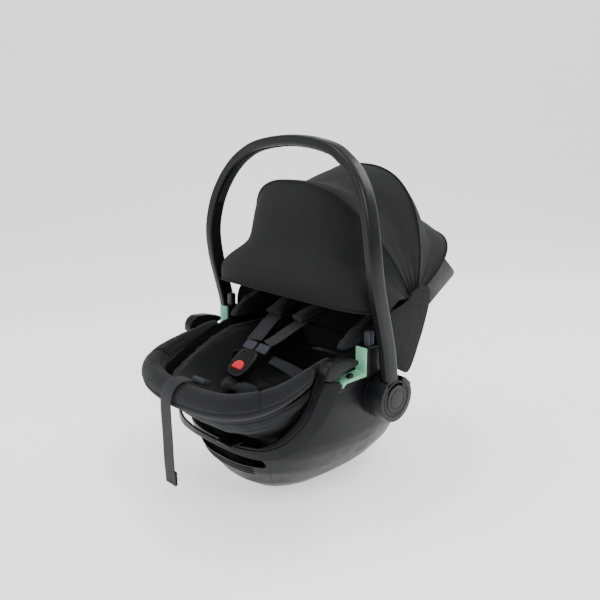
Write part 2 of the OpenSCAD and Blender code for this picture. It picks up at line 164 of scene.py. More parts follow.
def cloth(name, dark, light, thread_scale, depth_mm, sheen):
    """Plain weave seen from any side: three thread directions, with melange colour."""
    s = Shader(name, 0.9, sheen=sheen, specular=0.3)
    threads = s.math("MULTIPLY", s.wave(thread_scale, "X", distortion=0.4),
                     s.wave(thread_scale, "Y", distortion=0.4))
    weave = s.math("ADD", threads, s.math("MULTIPLY", s.wave(thread_scale, "Z", distortion=0.4), 0.6))
    fleck = s.noise(900, 3, 0.7)
    shade = s.math("ADD", s.math("MULTIPLY", fleck, 0.6), s.math("MULTIPLY", s.noise(9, 4), 0.4))
    s.colour(dark, light, s.spread(shade, 0.0, 1.0))
    s.bump(s.noise(28, 3), 1.2, 0.35)
    s.bump(weave, depth_mm, 0.7)
    return s.mat


def webbing_cloth(name, dark, light):
    """Narrow woven webbing: cross ribs broken by a diagonal, from U along and V across."""
    s = Shader(name, 0.75, sheen=0.06, specular=0.35)
    ribs = s.math("MULTIPLY", s.wave(170, "X", "UV"), s.wave(95, "DIAGONAL", "UV"))
    s.colour(dark, light, s.spread(s.math("ADD", ribs, s.noise(300, 3)), 0.0, 1.0))
    s.bump(ribs, 0.35, 0.8)
    return s.mat


def brushed(name):
    """Drawn steel with fine lines across it."""
    s = Shader(name, 0.32, metallic=1.0)
    s.colour((0.42, 0.42, 0.44), (0.6, 0.6, 0.62), s.noise(60, 5))
    s.bump(s.wave(600, "X", distortion=2.0), 0.03, 0.4)
    return s.mat


BLACK = moulded("black_moulded", (0.0035, 0.0036, 0.0042), (0.006, 0.0061, 0.007), 0.4, specular=0.2)
SATIN = moulded("handle_moulded", (0.005, 0.0051, 0.0058), (0.008, 0.0081, 0.0091), 0.36, specular=0.26)
DULL = moulded("black_textured", (0.004, 0.004, 0.0045), (0.007, 0.007, 0.0078), 0.55, 0.12)
MINT = moulded("mint_moulded", (0.16, 0.42, 0.27), (0.20, 0.48, 0.32), 0.42)
SLATE = moulded("slate_moulded", (0.028, 0.031, 0.042), (0.04, 0.043, 0.056), 0.42)
RED = moulded("red_moulded", (0.60, 0.018, 0.03), (0.70, 0.03, 0.045), 0.3)
RUBBER = moulded("soft_rubber", (0.007, 0.007, 0.008), (0.012, 0.012, 0.013), 0.72, 0.2)
STEEL = brushed("brushed_steel")
CANOPY = cloth("canopy_weave", (0.005, 0.0051, 0.0056), (0.011, 0.0112, 0.012), 620, 0.2, 0.03)
SEAT = cloth("seat_knit", (0.005, 0.0051, 0.006), (0.011, 0.0112, 0.0128), 520, 0.22, 0.08)
INSERT = cloth("insert_jersey", (0.0075, 0.0077, 0.009), (0.015, 0.0154, 0.0175), 700, 0.2, 0.1)
PIPING = cloth("piping_cord", (0.004, 0.004, 0.0045), (0.009, 0.009, 0.01), 900, 0.15, 0.04)
WEBBING = webbing_cloth("harness_webbing", (0.006, 0.006, 0.007), (0.016, 0.0163, 0.018))
THREAD = cloth("stitch_thread", (0.014, 0.014, 0.016), (0.026, 0.026, 0.029), 1500, 0.1, 0.05)


# ---------- geometry helpers ----------

# webbing texture width around a strap in V, and a thread's (place along it, share of its radius)
WEAVE_TURN = 0.06
THREAD_SHAPE = ((-0.5, 0.35), (-0.32, 1.0), (0.32, 1.0), (0.5, 0.35))
# edges of a CAD node that turn more than this many degrees are rounded over
CORNER_ANGLE = 33


def vec(points):
    return [Vector(p) for p in points]


def mirrored(half):
    """A path given from the left end to the middle, continued to the right end."""
    return vec(half) + [Vector((-x, y, z)) for x, y, z in reversed(half[:-1])]


def flipped(points, side):
    """Points of the left side, mirrored for the right one."""
    return [Vector((side * p[0], p[1], p[2])) for p in points]


def curve(p, k):
    """Smooth curve through points, k steps between neighbours."""
    out = []
    for i in range(len(p) - 1):
        a, b, c, d = p[max(i - 1, 0)], p[i], p[i + 1], p[min(i + 2, len(p) - 1)]
        for s in range(k):
            t = s / k
            out.append(0.5 * (2 * b + (c - a) * t + (2 * a - 5 * b + 4 * c - d) * t * t
                              + (3 * b - a - 3 * c + d) * t ** 3))
    return out + [p[-1].copy()]


def resample(path, step):
    """Points a step apart along a path."""
    out, left = [path[0].copy()], step
    for a, b in zip(path, path[1:]):
        d = (b - a).length
        while left <= d:
            out.append(a.lerp(b, left / d))
            left += step
        left -= d
    return out


def tangent(p, i):
    return (p[min(i + 1, len(p) - 1)] - p[max(i - 1, 0)]).normalized()


def spow(v, e):
    """Power that keeps the sign, for superellipses."""
    return math.copysign(abs(v) ** e, v)


def round_turn(n):
    """The n angles of a full turn, from zero."""
    return [math.tau * k / n for k in range(n)]


def finish_mesh(name, verts_mm, faces, mat, body, uvs=None, sharp=40):
    """A dressed object from points in millimetres, with its faces turned outwards."""
    me = bpy.data.meshes.new(name)
    me.from_pydata([v * MM for v in verts_mm], [], faces)
    me.validate()
    if uvs:
        layer = me.uv_layers.new(name="UVMap")
        for loop in me.loops:
            layer.data[loop.index].uv = uvs[loop.vertex_index]
    bm = bmesh.new()
    bm.from_mesh(me)
    bmesh.ops.recalc_face_normals(bm, faces=bm.faces)
    bm.to_mesh(me)
    bm.free()
    obj = bpy.data.objects.new(name, me)
    bpy.context.collection.objects.link(obj)
    return dress(obj, mat, body, sharp)


def dress(obj, mat, body, sharp):
    """Material, shading and the body that it rides on."""
    obj.data.materials.clear()
    obj.data.materials.append(mat)
    obj.data.polygons.foreach_set("use_smooth", [True] * len(obj.data.polygons))
    obj.data.set_sharp_from_angle(angle=math.radians(sharp))
    if body:
        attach(obj, body)
    return obj


def ring_faces(n, m, both_ends=True):
    """Faces between m rings of n points; the last ring is closed, and the first if asked."""
    faces = [(i * n + j, i * n + (j + 1) % n, (i + 1) * n + (j + 1) % n, (i + 1) * n + j)
             for i in range(m - 1) for j in range(n)]
    if both_ends:
        faces.append(tuple(range(n)))
        faces.append(tuple((m - 1) * n + j for j in reversed(range(n))))
    else:
        faces.append(tuple((m - 1) * n + j for j in range(n)))
    return faces


def loft(name, rings, mat, body, sharp=40):
    """Solid through rings of equal length, with U along it and V around it."""
    n = len(rings[0])
    faces = ring_faces(n, len(rings))
    centres = [sum(ring, Vector()) / n for ring in rings]
    far, uvs = 0.0, []
    for i in range(len(rings)):
        far += (centres[i] - centres[i - 1]).length if i else 0.0
        uvs += [(far * MM, j / n * WEAVE_TURN) for j in range(n)]
    return finish_mesh(name, [p for r in rings for p in r], faces, mat, body, uvs, sharp)


def frame_at(path, i, side):
    """Normal and binormal of a path at point i, the binormal lying along side."""
    d = tangent(path, i)
    n = d.cross(side).normalized()
    return n, n.cross(d)


def strap_rings(path, width, thick, side):
    """A flat webbing section: round edge cords and a slightly thinner middle."""
    rings = []
    for i in range(len(path)):
        n, b = frame_at(path, i, side)
        ring = []
        for a in round_turn(24):
            x, y = spow(math.cos(a), 0.45), spow(math.sin(a), 0.7)
            edge = 1.0 if abs(x) > 0.82 else 0.8
            ring.append(path[i] + b * (width / 2 * x) + n * (thick / 2 * y * edge))
        rings.append(ring)
    return rings


def tube(name, path, radius, mat, body):
    """Round cord along a path."""
    rings = []
    for i in range(len(path)):
        d = tangent(path, i)
        n, b = frame_at(path, i, d.orthogonal() if abs(d.z) > 0.95 else UP)
        rings.append([path[i] + (n * math.cos(a) + b * math.sin(a)) * radius for a in round_turn(8)])
    return loft(name, rings, mat, body)


def stitches(name, path, body, pitch=4.5, long=3.0, radius=0.35):
    """A row of separate threads along a path, as one piece."""
    pts = resample(path, pitch)
    verts, faces = [], []
    for i in range(len(pts) - 1):
        d = tangent(pts, i)
        n, b = frame_at(pts, i, UP if abs(d.z) < 0.9 else Vector((1, 0, 0)))
        base = len(verts)
        for s, r in THREAD_SHAPE:
            verts += [pts[i] + d * (s * long) + (n * math.cos(a) + b * math.sin(a)) * radius * r
                      for a in round_turn(5)]
        faces += [tuple(base + k for k in face) for face in ring_faces(5, len(THREAD_SHAPE))]
    return finish_mesh(name, verts, faces, THREAD, body)


def applied(obj):
    """Replace an object's mesh with its evaluated one and drop the modifiers."""
    dg = bpy.context.evaluated_depsgraph_get()
    dg.update()
    new = bpy.data.meshes.new_from_object(obj.evaluated_get(dg))
    obj.modifiers.clear()
    obj.data = new
    return obj


def copy_of(node, name):
    """A copy of a CAD node's mesh, its flat faces joined up."""
    obj = bpy.data.objects.new(name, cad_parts[node].data.copy())
    bpy.context.collection.objects.link(obj)
    bm = bmesh.new()
    bm.from_mesh(obj.data)
    bmesh.ops.remove_doubles(bm, verts=bm.verts, dist=2e-5)
    bmesh.ops.dissolve_limit(bm, angle_limit=math.radians(0.6), verts=bm.verts, edges=bm.edges)
    bm.to_mesh(obj.data)
    bm.free()
    return obj


def softened(node, mat, body, width, segments=3):
    """A machined CAD node with its corners rounded over, as moulded parts have."""
    obj = copy_of(node, node + "_moulded")
    bevel = obj.modifiers.new("corners", "BEVEL")
    bevel.width, bevel.segments = width * MM, segments
    bevel.limit_method, bevel.angle_limit = "ANGLE", math.radians(CORNER_ANGLE)
    bevel.use_clamp_overlap = True
    applied(obj)
    dress(obj, mat, body, 38)
    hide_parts(node)
    return obj


# ---------- padded pieces ----------

SHRINK_MM = 1.5
PRESSURE, SIM_FRAMES = 4.0, 20


def swollen(obj, voxel_mm, cap_mm):
    """Foam under a cover: remesh, shrink, let cloth pressure swell it, cap the move, smooth it."""
    remesh = obj.modifiers.new("voxels", "REMESH")
    remesh.mode, remesh.voxel_size = "VOXEL", voxel_mm * MM
    applied(obj)
    me = obj.data
    for v, n in [(v, v.normal.copy()) for v in me.vertices]:
        v.co -= n * SHRINK_MM * MM
    start = [v.co.copy() for v in me.vertices]
    sim = obj.modifiers.new("cloth", "CLOTH")
    sim.settings.quality = 4
    sim.settings.mass = 0.3
    sim.settings.use_pressure = True
    sim.settings.uniform_pressure_force = PRESSURE
    sim.settings.effector_weights.gravity = 0
    sim.settings.shrink_min = -0.02
    sim.collision_settings.use_collision = False
    sim.point_cache.frame_start, sim.point_cache.frame_end = 1, SIM_FRAMES
    for f in range(1, SIM_FRAMES + 1):
        bpy.context.scene.frame_set(f)
    applied(obj)
    bpy.context.scene.frame_set(1)
    for v, s in zip(obj.data.vertices, start):
        move = v.co - s
        if move.length > cap_mm * MM:
            v.co = s + move.normalized() * cap_mm * MM
    smooth = obj.modifiers.new("smooth", "SMOOTH")
    smooth.factor, smooth.iterations = 0.5, 3
    sub = obj.modifiers.new("sub", "SUBSURF")
    sub.levels = sub.render_levels = 1
    return applied(obj)


def pad(node, mat, voxel_mm, cap_mm):
    """The swollen cushion that stands for a padded CAD node."""
    obj = swollen(copy_of(node, node + "_cushion"), voxel_mm, cap_mm)
    dress(obj, mat, None, 80)
    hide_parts(node)
    return obj


def surface_of(obj):
    """Search tree of an object's surface."""
    bm = bmesh.new()
    bm.from_mesh(obj.data)
    tree = BVHTree.FromBMesh(bm)
    bm.free()
    return tree


def laid_on(tree, path, lift=0.0, step=2.5):
    """The path's points moved to the nearest place on a surface, lifted off it."""
    out = []
    for p in resample(path, step):
        hit = tree.find_nearest(p * MM)
        out.append(hit[0] / MM + hit[1] * lift)
    return out


def groove(obj, path, width, depth):
    """Sewn channel: points near the path sink along their normals."""
    pts = [p * MM for p in resample(path, 3.0)]
    from_path = BVHTree.FromPolygons(
        [q for p in pts for q in (p, p + Vector((1e-5, 0, 0)), p + Vector((0, 1e-5, 0)))],
        [(3 * i, 3 * i + 1, 3 * i + 2) for i in range(len(pts))])
    reach, moves = width * 2.6 * MM, []
    for v in obj.data.vertices:
        hit = from_path.find_nearest(v.co, reach)
        if hit[0] is not None:
            moves.append((v, v.normal.copy(), math.exp(-((hit[3] / (width * MM)) ** 2))))
    for v, n, k in moves:
        v.co -= n * depth * MM * k


def seam(obj, name, path, body, width, depth, cord=0.9, thread=True, off=3.2):
    """A sewn channel in a pad with a fine cord in it and stitches beside it."""
    line = laid_on(surface_of(obj), path)
    groove(obj, line, width, depth)
    tree = surface_of(obj)
    line = laid_on(tree, line, 0.1)
    tube(name + "_cord", line, cord, PIPING, body)
    if thread:
        beside = []
        for i, p in enumerate(line):
            hit = tree.find_nearest(p * MM)
            side = tangent(line, i).cross(hit[1]).normalized() * off
            beside.append(tree.find_nearest((p + side) * MM)[0] / MM + hit[1] * 0.1)
        stitches(name + "_thread", beside, body)


# ---------- shells of tub shape ----------

# levels: height, half width, reach to the foot, reach to the head; rims: place along Y, height
SHELL_LEVELS = ((3, 48, 92, 122), (14, 72, 127, 152), (35, 98, 158, 176), (70, 130, 185, 192),
                (105, 152, 202, 196), (125, 160, 206, 197), (190, 172, 208, 190), (286, 177, 209, 176))
SHELL_RIM = ((-320, 126), (-186, 127), (-171, 140), (-158, 157), (-145, 179), (-134, 208), (-127, 235),
             (-121, 258), (-112, 262), (-98, 234), (-44, 230), (-42, 232), (-14, 236), (0, 240), (45, 215),
             (85, 150), (120, 124), (260, 124))
BUCKET_LEVELS = ((98, 70, 90, 60), (110, 98, 135, 95), (125, 115, 172, 120), (140, 126, 200, 133),
                 (165, 137, 235, 150), (200, 144, 262, 160), (225, 146, 272, 164), (275, 148, 276, 166))
BUCKET_RIM = ((-330, 214), (-250, 216), (-200, 224), (-150, 238), (-110, 252), (-60, 264), (88, 264),
              (90, 192), (240, 192))
VALANCE_TOP = ((-330, 189), (-262, 190), (-230, 194), (-200, 199), (-150, 212), (-120, 226), (-90, 238),
               (240, 238))
VALANCE_LOW = ((-330, 150), (-240, 150), (-200, 160), (-150, 192), (-120, 214), (-90, 232), (240, 232))
# a tub is its levels and the squareness of its foot end; every head end is an ellipse
SHELL, BUCKET = (SHELL_LEVELS, 2.6), (BUCKET_LEVELS, 3)
HEAD_SQUARE = 2


def along(table, x):
    """Value of a stepwise line of (x, value) points."""
    for (x0, v0), (x1, v1) in zip(table, table[1:]):
        if x <= x1:
            return v0 + (v1 - v0) * min(max((x - x0) / (x1 - x0), 0), 1)
    return table[-1][1]


def tub_point(tub, angle, z, out=0.0):
    """The point of a tub at an angle and a height, moved out from its wall."""
    levels, foot_square = tub
    half, foot, head = (along([(lv[0], lv[i]) for lv in levels], z) + out for i in (1, 2, 3))
    c, s = math.cos(angle), math.sin(angle)
    n, reach = (foot_square, foot) if s < 0 else (HEAD_SQUARE, head)
    return Vector((half * spow(c, 2 / n), reach * spow(s, 2 / n), z))


def rim_height(tub, angle, rim, out):
    """Where the tub's wall meets the rim line, to the millimetre."""
    z, floor = tub[0][-1][0], tub[0][0][0]
    while z > floor:
        if z <= along(rim, tub_point(tub, angle, z, out).y):
            return z
        z -= 1.0
    return z


def tub_sheet(tub, low, high, angles, rows, out=0.0, bulge=None):
    """Grid of points on a tub from a height or a rim line up to another rim line."""
    grid = []
    for a in angles:
        top = rim_height(tub, a, high, out)
        base = low if isinstance(low, (int, float)) else rim_height(tub, a, low, out)
        column = []
        for r in range(rows + 1):
            t = r / rows
            extra = bulge(a, t) if bulge else 0.0
            column.append(tub_point(tub, a, base + (top - base) * t, out + extra))
        grid.append(column)
    return grid


def grid_faces(columns, rows, wrap):
    """Faces of a grid of columns, joined round if it wraps."""
    return [(i * rows + j, (i + 1) % columns * rows + j, (i + 1) % columns * rows + j + 1, i * rows + j + 1)
            for i in range(columns if wrap else columns - 1) for j in range(rows - 1)]


def thickened(obj, mm, offset=-1.0):
    """A sheet made solid: inwards at offset -1, both ways at 0."""
    solid = obj.modifiers.new("thickness", "SOLIDIFY")
    solid.thickness, solid.offset, solid.use_even_offset = mm * MM, offset, True
    return applied(obj)


def full_turn(n):
    """The n angles of a full turn, from half a step."""
    return [math.tau * (i + 0.5) / n for i in range(n)]


def tub_shell(name, tub, rim, columns, rows, mat, mm):
    """A whole tub of a wall thickness, with a flat floor and a rim line."""
    angles, floor = full_turn(columns), tub[0][0][0]
    grid = tub_sheet(tub, floor, rim, angles, rows)
    verts = [p for column in grid for p in column] + [Vector((0, 0, floor))]
    high, middle = rows + 1, len(verts) - 1
    faces = grid_faces(columns, high, True)
    faces += [(middle, (i + 1) % columns * high, i * high) for i in range(columns)]
    return thickened(finish_mesh(name, verts, faces, mat, None), mm)


def rounded_block(lo, hi, r):
    """Cutter or block with rounded corners, not yet dressed."""
    me = bpy.data.meshes.new("block")
    bm = bmesh.new()
    bmesh.ops.create_cube(bm, size=1)
    for v in bm.verts:
        v.co = Vector([(lo[i] + hi[i]) / 2 + v.co[i] * (hi[i] - lo[i]) for i in range(3)]) * MM
    bmesh.ops.bevel(bm, geom=bm.edges[:], offset=r * MM, segments=4, profile=0.5, affect="EDGES")
    bm.to_mesh(me)
    bm.free()
    obj = bpy.data.objects.new("block", me)
    bpy.context.collection.objects.link(obj)
    return obj


def carved(obj, cutters):
    """Cut the cutters out of an object and delete them."""
    for c in cutters:
        cut = obj.modifiers.new("cut", "BOOLEAN")
        cut.operation, cut.solver, cut.object = "DIFFERENCE", "EXACT", c
    applied(obj)
    for c in cutters:
        bpy.data.objects.remove(c)
    return obj


def extruded(name, outline, x0, x1, bevel):
    """Part of the shell: an outline in Y and Z from x0 to x1, with rounded corners."""
    n = len(outline)
    verts = [Vector((x, y, z)) for x in (x0, x1) for y, z in outline]
    faces = [tuple(range(n)), tuple(n + j for j in reversed(range(n)))]
    faces += [(j, n + j, n + (j + 1) % n, (j + 1) % n) for j in range(n)]
    obj = finish_mesh(name, verts, faces, BLACK, None)
    soft = obj.modifiers.new("corners", "BEVEL")
    soft.width, soft.segments = bevel * MM, 3
    soft.limit_method, soft.angle_limit = "ANGLE", math.radians(30)
    applied(obj)
    return dress(obj, BLACK, "carrier", 38)


def turned(name, profile, side, mat, body):
    """Lathe around the hubs' axis: profile is (x, radius) from the inner end to the outer."""
    rings = [[Vector((side * x, r * math.cos(a), HUB_Z + r * math.sin(a))) for a in round_turn(96)]
             for x, r in profile]
    return loft(name, rings, mat, body, sharp=32)


# ---------- lower shell ----------

SHELL_WALL, BUCKET_WALL = 4.6, 3.8
HAND_HOLD = ((-75, -232, 84), (90, -145, 108))
BASE_BAR_Y = (-70, 80)
HUB_BOSS = ((158, 30), (158, 35), (159.5, 36), (175.5, 36), (177, 34.8), (177, 9))
# side outlines in Y and Z: the belt hook, and the floor of the belt slot
BELT_HOOK = ((-130, 248), (-129, 262), (-124, 271), (-114, 276), (-88, 274), (-58, 265), (-58, 257.5),
             (-86, 252.5), (-96, 249), (-106, 246), (-116, 244))
BELT_FLOOR = ((-106, 219), (-13, 219), (-13, 233.6), (-106, 233.6))
SPLIT_ANGLE, RIB_HEIGHTS = 0.62, (66, 72, 78)


def guide_post(side, word):
    """The post that a release tab slides in, with the tab's well."""
    inner, outer = sorted((161.5 * side, 185.5 * side))
    post = rounded_block((inner, -40.8, 232), (outer, -12.5, 280.5), 2.5)
    inner, outer = sorted((166 * side, 181 * side))
    well = rounded_block((inner, -32, 255), (outer, -18, 290), 0.8)
    post.name = "guide_post_" + word
    carved(post, [well])
    dress(post, BLACK, "carrier", 38)


def lower_shell():
    """Moulded shell with hand hold and base-bar slots; hub bosses, belt hooks and posts."""
    shell = tub_shell("lower_shell_moulded", SHELL, SHELL_RIM, 220, 44, BLACK, SHELL_WALL)
    cutters = [rounded_block(*HAND_HOLD, 9)]
    cutters += [rounded_block((-30, y - 14, -4), (30, y + 14, 23), 3) for y in BASE_BAR_Y]
    carved(shell, cutters)
    dress(shell, BLACK, "carrier", 34)
    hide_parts("lower_shell")
    for side, word in SIDES:
        turned("hub_boss_" + word, HUB_BOSS, side, BLACK, "carrier")
        for name, outline, outer, bevel in (("belt_hook_", BELT_HOOK, 183.5, 3.0),
                                            ("belt_floor_", BELT_FLOOR, 177.4, 1.5)):
            extruded(name + word, outline, side * 163.5, side * outer, bevel)
        guide_post(side, word)


def shell_details():
    """Panel splits and ribs beside the hand hold."""
    front = -math.pi / 2
    for side, word in SIDES:
        line = [tub_point(SHELL, front + side * SPLIT_ANGLE, z, 0.25) for z in range(40, 124, 3)]
        tube("panel_split_" + word, line, 0.7, DULL, "carrier")
    for k, z in enumerate(RIB_HEIGHTS):
        line = [tub_point(SHELL, front + a / 100, z, 0.35) for a in range(-34, 42, 2)]
        tube("shell_rib_%d" % k, line, 0.9, BLACK, "carrier")


# ---------- handle ----------

HANDLE_HALF = ((203, -2, 205), (203, -7, 230), (201, -14, 280), (200, -27, 330), (199, -40, 380),
               (196, -46, 430), (185, -43, 480), (167, -36, 520), (143, -30, 550), (115, -26, 570),
               (88, -22, 582), (46, -19, 590), (0, -18, 593))
HANDLE_W, HANDLE_T = 28.0, 18.0
# points of the path that each leg has below the grip inlay
GRIP_START = 48
HUB_CAP = ((208.4, 6), (208.4, 23), (213.2, 23.3), (214.4, 22.2), (214.4, 17.6), (213.8, 17),
           (213.8, 15.8), (214.6, 15.2), (214.9, 8), (215, 0.5))
HUB_RING = ((212.6, 27), (213.5, 27.6), (213.5, 30.4), (212.6, 31))


def handle():
    """The carrying bow, and the ribbed inlay on its inner face."""
    path = curve(mirrored(HANDLE_HALF), 8)
    rings = []
    for i, p in enumerate(path):
        n, b = frame_at(path, i, Vector((0, 1, 0)))
        ring = []
        for a in round_turn(40):
            x, y = spow(math.cos(a), 0.55), spow(math.sin(a), 0.55)
            # shallow trough on the inner face, fine parting line on the flanks
            dent = 0.9 if y > 0.9 and abs(x) < 0.62 else 0.0
            part = 0.5 if abs(y) < 0.1 else 0.0
            ring.append(p + b * ((HANDLE_W / 2 - part) * x) + n * (HANDLE_T / 2 * y - dent))
        rings.append(ring)
    bow = loft("handle_bow_moulded", rings, SATIN, "handle", sharp=50)
    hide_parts("handle_bow")

    grip = path[GRIP_START:len(path) - GRIP_START]
    inlay = []
    for i, p in enumerate(grip):
        n, b = frame_at(grip, i, Vector((0, 1, 0)))
        rib = 0.45 if i % 3 else 0.0
        inlay.append([p + b * (6 * spow(math.cos(a), 0.6)) + n * (HANDLE_T / 2 + 0.3 + (0.9 + rib)
                     * spow(math.sin(a), 0.6)) for a in round_turn(20)])
    strip = loft("grip_inlay_ribbed", inlay, RUBBER, "handle", sharp=50)
    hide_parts("grip_inlay")


def hubs():
    """Hub housings with their caps, rings and push buttons."""
    for side, word in SIDES:
        softened("hub_" + word, SATIN, "handle", 2.2)
        cap = turned("hub_cap_" + word, HUB_CAP, side, SATIN, "handle")
        if side > 0:
            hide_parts("hub_caps")
        turned("hub_ring_" + word, HUB_RING, side, DULL, "handle")
        softened("handle_button_" + word, SLATE, word + "_button", 2.5, 4)


# ---------- seat bucket, pads ----------


def seat_bucket():
    """The tub that carries the seat."""
    bucket = tub_shell("seat_bucket_moulded", BUCKET, BUCKET_RIM, 180, 26, DULL, BUCKET_WALL)
    dress(bucket, DULL, "carrier", 40)
    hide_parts("seat_bucket")


RIM_HALF = ((144, -84, 260), (145, -110, 255), (146, -140, 246), (146, -172, 237), (140, -203, 229),
            (123, -231, 222), (94, -252, 217), (52, -264, 215), (0, -268, 214))


def rim_cushion():
    """The padded rim with its long seams and two cross seams."""
    rim = pad("rim_pad", SEAT, 5, 5)
    path = curve(mirrored(RIM_HALF), 6)
    n = len(path)

    def inward(p):
        return Vector((-p.x, -(p.y + 90), 0)).normalized()

    inner = [p + inward(p) * 16 + UP * 17 for p in path[5:n - 5]]
    low = [p - inward(p) * 22 - UP * 5 for p in path[5:n - 5]]
    seam(rim, "rim_inner_seam", inner, "carrier", 3.4, 2.4)
    seam(rim, "rim_outer_seam", low, "carrier", 3.0, 1.8, thread=False)
    for k, i in enumerate((n // 2 - 21, n // 2 + 21)):
        p = path[i]
        across = [p + inward(p) * (22 * math.cos(a)) + UP * (22 * math.sin(a))
                  for a in (math.radians(g) for g in range(20, 185, 8))]
        seam(rim, "rim_cross_seam_%d" % k, across, "carrier", 3.0, 2.2, cord=0.8)
    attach(rim, "carrier")


SEWN_ROWS = (("low", 0.25), ("high", 0.72))


def valance():
    """The cloth band round the foot end, with small folds and two sewn rows."""
    angles = [a for a in full_turn(260) if tub_point(BUCKET, a, 200).y < -92]

    def sag(a, t):
        fold = 0.9 * math.sin(a * 23) + 0.6 * noise.noise(Vector((a * 6, t * 3, 0.5)))
        line = sum(math.exp(-((t - at) / 0.035) ** 2) for _, at in SEWN_ROWS)
        return fold * (1 - t) + 1.2 * math.sin(math.pi * t) - 1.0 * line

    rows = 22
    grid = tub_sheet(BUCKET, VALANCE_LOW, VALANCE_TOP, angles, rows, 3.0, sag)
    band = finish_mesh("valance_cloth", [p for c in grid for p in c],
                       grid_faces(len(angles), rows + 1, False), SEAT, None)
    thickened(band, 2.0, 0.0)
    dress(band, SEAT, "carrier", 60)
    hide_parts("valance")
    for name, at in SEWN_ROWS:
        row = [c[round(at * rows)] + Vector((c[0].x, c[0].y, 0)).normalized() * 1.4 for c in grid]
        stitches("valance_%s_thread" % name, row, "carrier", pitch=4.0, long=2.6)


def seat_cushions():
    """The seat, back and lumbar pads with their sewn channels."""
    seat = pad("seat_pad", SEAT, 6, 4)
    for k, x in enumerate((-48, 48)):
        line = vec([(x * 0.9, -205, 214), (x, -170, 196), (x * 1.05, -120, 184), (x, -60, 178),
                    (x * 0.9, 0, 178), (x * 0.85, 50, 180)])
        seam(seat, "seat_channel_%d" % k, curve(line, 6), "carrier", 4.0, 3.0)
    across = vec([(-80, -30, 190), (-40, -30, 179), (0, -30, 176), (40, -30, 179), (80, -30, 190)])
    seam(seat, "seat_cross_channel", curve(across, 6), "carrier", 4.0, 3.0)
    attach(seat, "carrier")

    back = pad("back_pad", SEAT, 6, 4)
    for k, z in enumerate((130, 190)):
        line = vec([(-60, z, 300), (0, z, 292), (60, z, 300)])
        seam(back, "back_channel_%d" % k, curve(line, 8), "backrest", 4.0, 3.0)
    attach(back, "backrest")

    lumbar = pad("lumbar_pad", SEAT, 3, 2)
    seam(lumbar, "lumbar_channel", vec([(-96, 84, 216), (0, 84, 216), (96, 84, 216)]), "carrier", 3.0, 1.4)
    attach(lumbar, "carrier")

# node, voxel, cap, fill, body, name, half line, steps, (groove, depth, cord), thread offset
PIPED = (
    ("side_wings", 4, 5, 0.7, "carrier", "wing",
     ((126, -46, 272), (126, -36, 286), (126, -14, 300), (126, 30, 314), (126, 80, 322)), 8,
     (2.6, 1.8, 1.3), 3.6),
    ("side_bolsters", 4, 5, 0.8, "backrest", "bolster",
     ((72, 112, 306), (69, 160, 324), (67, 222, 346)), 10, (2.4, 1.6, 1.3), 3.6),
    ("headrest_pad", 4, 6, 0.7, "headrest", "headrest",
     ((46, 172, 312), (47, 200, 326), (46, 232, 343)), 10, (2.6, 1.8, 1.2), 3.2))


def newborn_insert():
    """Wings, bolsters and headrest, piped on both sides, and the crotch pad."""
    for node, voxel, cap, fill, body, name, half, steps, sizes, off in PIPED:
        cushion = pad(node, INSERT, voxel, cap)
        for side, word in SIDES:
            line = curve(flipped(half, side), steps)
            seam(cushion, name + "_piping_" + word, line, body, *sizes, off=off)
        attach(cushion, body)

    crotch = pad("crotch_pad", INSERT, 3.5, 4)
    line = vec([(0, -166, 206), (0, -150, 208), (0, -138, 206)])
    seam(crotch, "crotch_seam", line, "carrier", 3.0, 2.4, cord=0.8)
    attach(crotch, "carrier")

def shoulder_pads():
    """The sleeves on the shoulder straps, with an edge line each side."""
    straps = pad("shoulder_pads", INSERT, 3.5, 3)
    for side, word in SIDES:
        for edge in (-13, 13):
            line = vec([(side * (29 + edge), -40, 303), (side * (37 + edge), -8, 315),
                        (side * (42 + edge), 40, 324), (side * (46 + edge), 78, 323)])
            seam(straps, "shoulder_pad_edge_%s_%s" % (word, "in" if edge < 0 else "out"),
                 curve(line, 8), "carrier", 2.2, 1.2, cord=0.7, thread=False)
    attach(straps, "carrier")


# ---------- harness ----------

HIP = ((36, -110, 242), (58, -97, 231), (85, -78, 214), (102, -62, 200))
SHOULDER = ((17, -101.5, 262.3), (22, -85, 269), (30, -50, 286), (37, -10, 300), (42, 40, 309),
            (46, 90, 308), (49, 125, 299), (51, 162, 286.5))
ADJUSTER = ((3, -242, 228), (3, -252, 236), (3, -270, 240), (3, -286, 234), (2, -294, 218),
            (1, -295, 196), (1, -294, 150), (0, -293, 110), (0, -291, 70))
WEB_W, WEB_T = 30.0, 2.0
ADJUSTER_W = 28
# points of the shoulder path that the edge stitching covers
SEWN_POINTS = 44


def harness():
    """Hip and shoulder webbing, with stitched edges on the shoulder straps."""
    for side, word in SIDES:
        hip = curve(flipped(HIP, side), 10)
        flat = Vector((side * 0.35, 0.75, -0.25))
        strap = loft("hip_webbing_" + word, strap_rings(hip, WEB_W, WEB_T, flat), WEBBING,
                     "carrier", sharp=60)
        if side > 0:
            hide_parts("hip_straps")
        path = curve(flipped(SHOULDER, side), 10)
        flat = Vector((side * 1.0, -0.18, 0))
        strap = loft("shoulder_webbing_" + word, strap_rings(path, WEB_W, WEB_T, flat), WEBBING,
                     None, sharp=60)
        if side > 0:
            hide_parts("shoulder_straps")
        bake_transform(strap)
        for edge in (-11.5, 11.5):
            row = []
            for i in range(SEWN_POINTS):
                n, b = frame_at(path, i, flat)
                row.append(path[i] + b * edge + n * 1.05)
            stitches("shoulder_thread_%s_%s" % (word, "in" if edge < 0 else "out"), row,
                     "carrier", pitch=3.6, long=2.4, radius=0.3)


